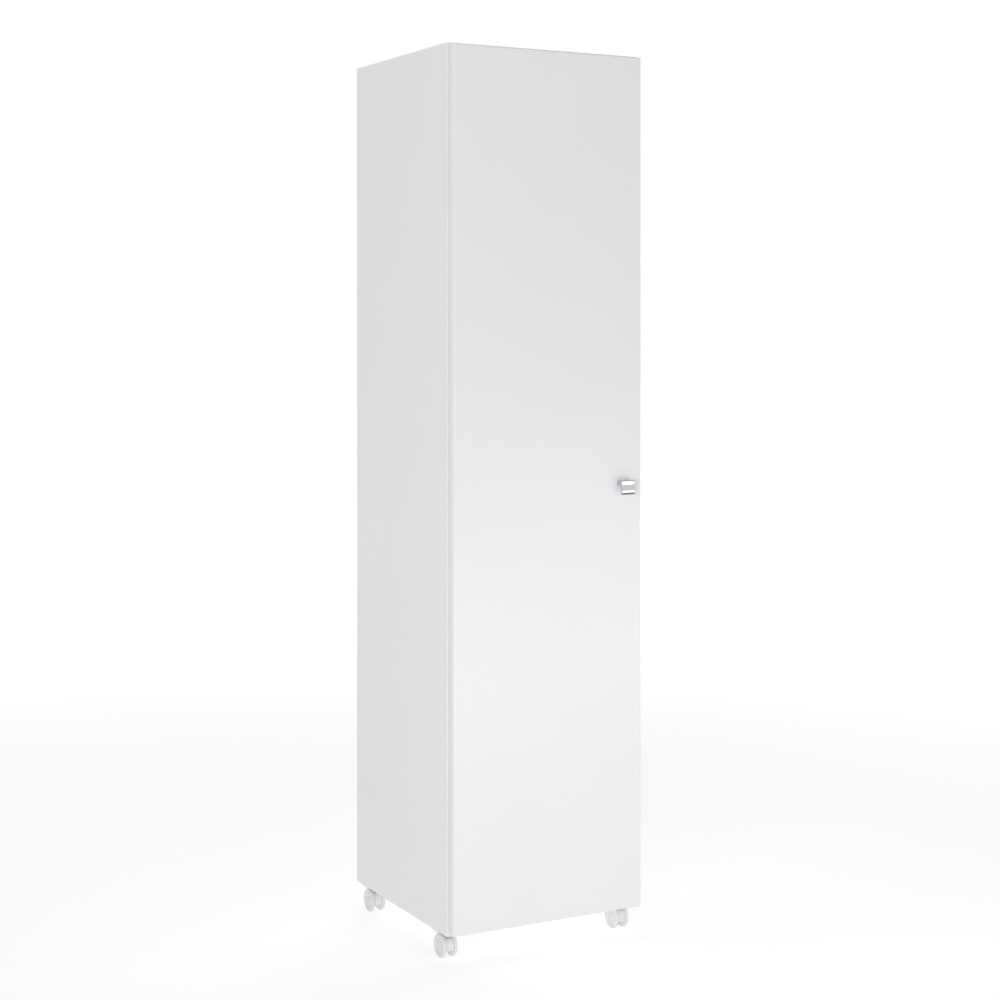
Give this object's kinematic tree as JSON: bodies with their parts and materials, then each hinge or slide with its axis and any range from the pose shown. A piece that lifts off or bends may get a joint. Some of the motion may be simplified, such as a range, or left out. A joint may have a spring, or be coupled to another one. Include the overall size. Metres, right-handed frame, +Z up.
{
  "type": "broom cupboard",
  "caption": "Tall white broom cupboard on twin-wheel casters: a hinged door with a small chromed pull, a broom bay, a top shelf and side shelves.",
  "frame": {"origin": "On the floor, under the middle of the bounding box", "axes": "+Z up, -Y to the front where the door is, +X to the right seen from the front"},
  "size_m": [0.44, 0.479, 1.8145],
  "materials": {
    "white_board": "white melamine facing on particle board, satin to semi-gloss",
    "white_hardboard": "white lacquered thin hardboard, satin",
    "chrome": "polished chrome plating",
    "white_plastic": "moulded white nylon, semi-gloss",
    "zinc_plated_steel": "bright zinc-plated pressed steel",
    "die_cast_zinc": "die-cast zinc, as cast",
    "beech": "fluted beech dowel",
    "soft_bumper": "milky soft plastic, matte"
  },
  "bodies": {
    "carcass": {"left_side_panel": "white_board", "right_side_panel": "white_board", "top_panel": "white_board", "bottom_panel": "white_board", "top_shelf": "white_board", "partition": "white_board", "small_shelf_1": "white_board", "small_shelf_2": "white_board", "small_shelf_3": "white_board", "hinge_plate_bottom": "zinc_plated_steel", "hinge_plate_middle": "zinc_plated_steel", "hinge_plate_top": "zinc_plated_steel", "hinge_arm_bottom": "zinc_plated_steel", "hinge_arm_middle": "zinc_plated_steel", "hinge_arm_top": "zinc_plated_steel", "hinge_plate_screws": "zinc_plated_steel", "hinge_arm_screws": "zinc_plated_steel", "shelf_pins": "zinc_plated_steel", "cam_bolts": "zinc_plated_steel", "caster_screws": "zinc_plated_steel", "caster_kingpins": "zinc_plated_steel", "caster_front_left_plate": "zinc_plated_steel", "caster_front_right_plate": "zinc_plated_steel", "caster_back_left_plate": "zinc_plated_steel", "caster_back_right_plate": "zinc_plated_steel", "back_panel": "white_hardboard", "cam_locks": "die_cast_zinc", "dowels": "beech"},
    "door": {"door_panel": "white_board", "pull": "chrome", "pull_screws": "zinc_plated_steel", "hinge_pins": "zinc_plated_steel", "hinge_cup_screws": "zinc_plated_steel", "door_bumpers": "soft_bumper", "hinge_cup_bottom": "zinc_plated_steel", "hinge_cup_middle": "zinc_plated_steel", "hinge_cup_top": "zinc_plated_steel"},
    "caster_front_left_swivel": {"caster_front_left_hood": "white_plastic", "caster_front_left_axle": "zinc_plated_steel"},
    "caster_front_left_wheel_left_body": {"caster_front_left_wheel_left": "white_plastic"},
    "caster_front_left_wheel_right_body": {"caster_front_left_wheel_right": "white_plastic"},
    "caster_front_right_swivel": {"caster_front_right_hood": "white_plastic", "caster_front_right_axle": "zinc_plated_steel"},
    "caster_front_right_wheel_left_body": {"caster_front_right_wheel_left": "white_plastic"},
    "caster_front_right_wheel_right_body": {"caster_front_right_wheel_right": "white_plastic"},
    "caster_back_left_swivel": {"caster_back_left_hood": "white_plastic", "caster_back_left_axle": "zinc_plated_steel"},
    "caster_back_left_wheel_left_body": {"caster_back_left_wheel_left": "white_plastic"},
    "caster_back_left_wheel_right_body": {"caster_back_left_wheel_right": "white_plastic"},
    "caster_back_right_swivel": {"caster_back_right_hood": "white_plastic", "caster_back_right_axle": "zinc_plated_steel"},
    "caster_back_right_wheel_left_body": {"caster_back_right_wheel_left": "white_plastic"},
    "caster_back_right_wheel_right_body": {"caster_back_right_wheel_right": "white_plastic"}
  },
  "joints": [
    {"name": "door_swing", "type": "hinge", "parent": "carcass", "child": "door", "pos_m": [-0.2075, -0.2095, 0.9345], "axis": [0, 0, -1], "range_deg": [0, 100]},
    {"name": "caster_front_left_turn", "type": "hinge", "parent": "carcass", "child": "caster_front_left_swivel", "pos_m": [-0.1995, -0.1435, 0.0495], "axis": [0, 0, 1], "continuous": true},
    {"name": "caster_front_left_wheel_left_roll", "type": "hinge", "parent": "caster_front_left_swivel", "child": "caster_front_left_wheel_left_body", "pos_m": [-0.1995, -0.1505, 0.024], "axis": [1, 0, 0], "continuous": true},
    {"name": "caster_front_left_wheel_right_roll", "type": "hinge", "parent": "caster_front_left_swivel", "child": "caster_front_left_wheel_right_body", "pos_m": [-0.1995, -0.1505, 0.024], "axis": [1, 0, 0], "continuous": true},
    {"name": "caster_front_right_turn", "type": "hinge", "parent": "carcass", "child": "caster_front_right_swivel", "pos_m": [0.1995, -0.1435, 0.0495], "axis": [0, 0, 1], "continuous": true},
    {"name": "caster_front_right_wheel_left_roll", "type": "hinge", "parent": "caster_front_right_swivel", "child": "caster_front_right_wheel_left_body", "pos_m": [0.1995, -0.1505, 0.024], "axis": [1, 0, 0], "continuous": true},
    {"name": "caster_front_right_wheel_right_roll", "type": "hinge", "parent": "caster_front_right_swivel", "child": "caster_front_right_wheel_right_body", "pos_m": [0.1995, -0.1505, 0.024], "axis": [1, 0, 0], "continuous": true},
    {"name": "caster_back_left_turn", "type": "hinge", "parent": "carcass", "child": "caster_back_left_swivel", "pos_m": [-0.1995, 0.2, 0.0495], "axis": [0, 0, 1], "continuous": true},
    {"name": "caster_back_left_wheel_left_roll", "type": "hinge", "parent": "caster_back_left_swivel", "child": "caster_back_left_wheel_left_body", "pos_m": [-0.1995, 0.193, 0.024], "axis": [1, 0, 0], "continuous": true},
    {"name": "caster_back_left_wheel_right_roll", "type": "hinge", "parent": "caster_back_left_swivel", "child": "caster_back_left_wheel_right_body", "pos_m": [-0.1995, 0.193, 0.024], "axis": [1, 0, 0], "continuous": true},
    {"name": "caster_back_right_turn", "type": "hinge", "parent": "carcass", "child": "caster_back_right_swivel", "pos_m": [0.1995, 0.2, 0.0495], "axis": [0, 0, 1], "continuous": true},
    {"name": "caster_back_right_wheel_left_roll", "type": "hinge", "parent": "caster_back_right_swivel", "child": "caster_back_right_wheel_left_body", "pos_m": [0.1995, 0.193, 0.024], "axis": [1, 0, 0], "continuous": true},
    {"name": "caster_back_right_wheel_right_roll", "type": "hinge", "parent": "caster_back_right_swivel", "child": "caster_back_right_wheel_right_body", "pos_m": [0.1995, 0.193, 0.024], "axis": [1, 0, 0], "continuous": true}
  ]
}
